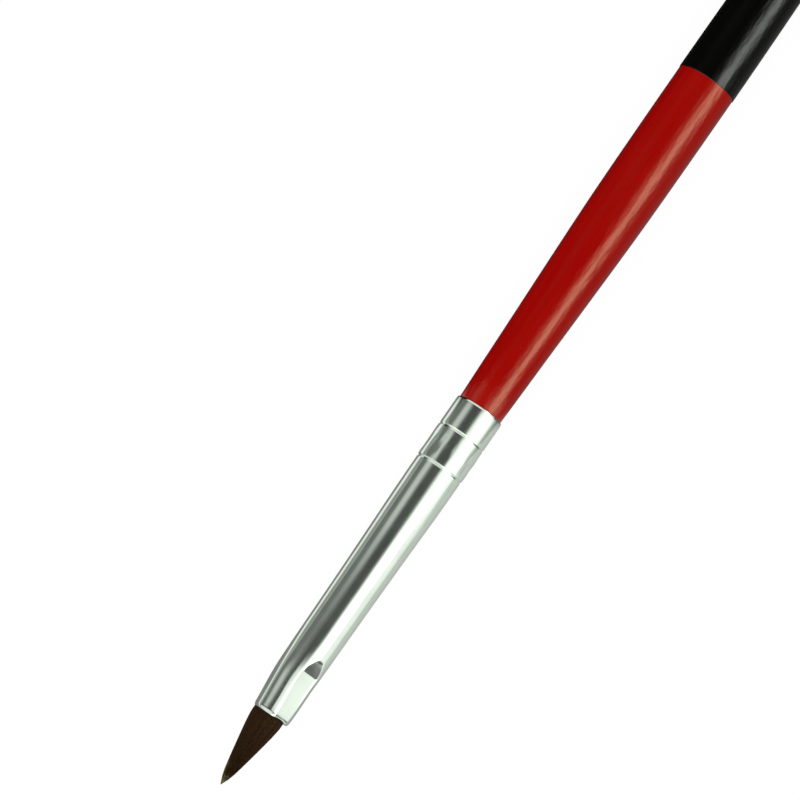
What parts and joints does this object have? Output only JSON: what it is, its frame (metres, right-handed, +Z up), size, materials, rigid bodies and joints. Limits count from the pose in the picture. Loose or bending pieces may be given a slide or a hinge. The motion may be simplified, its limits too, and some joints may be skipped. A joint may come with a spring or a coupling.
{
  "type": "acrylic nail brush",
  "caption": "Round acrylic nail brush with a pointed dark hair tuft, a crimped aluminium ferrule pressed at its mouth, and a slim tapered wooden handle lacquered red with a black dipped tail.",
  "frame": {"origin": "on the surface the brush lies on, straight below its axis, halfway between the hair's tip and the handle's tail", "axes": "+X along the brush's axis from the hair towards the tail, +Z up from the surface, +Y to the left of +X"},
  "size_m": [0.18, 0.0068, 0.0067],
  "materials": {
    "dark_hair": "fine sleek animal hair, very dark brown, amber over its last few millimetres",
    "binding_thread": "twisted undyed thread",
    "setting_resin": "set amber resin",
    "ferrule_aluminium": "bright polished with very fine draw lines",
    "tenon_glue": "thin dried glue film",
    "handle_wood": "turned pale close-grained hardwood, bare",
    "red_lacquer": "glossy deep red lacquer with a slight ripple over the grain",
    "black_lacquer": "glossy black dipped lacquer"
  },
  "bodies": {
    "root": {"bristle_tuft": "dark_hair", "binding_thread": "binding_thread", "setting_resin": "setting_resin", "ferrule": "ferrule_aluminium", "tenon_glue": "tenon_glue", "handle_core": "handle_wood", "red_lacquer_coat": "red_lacquer", "black_dip_coat": "black_lacquer"}
  },
  "joints": []
}
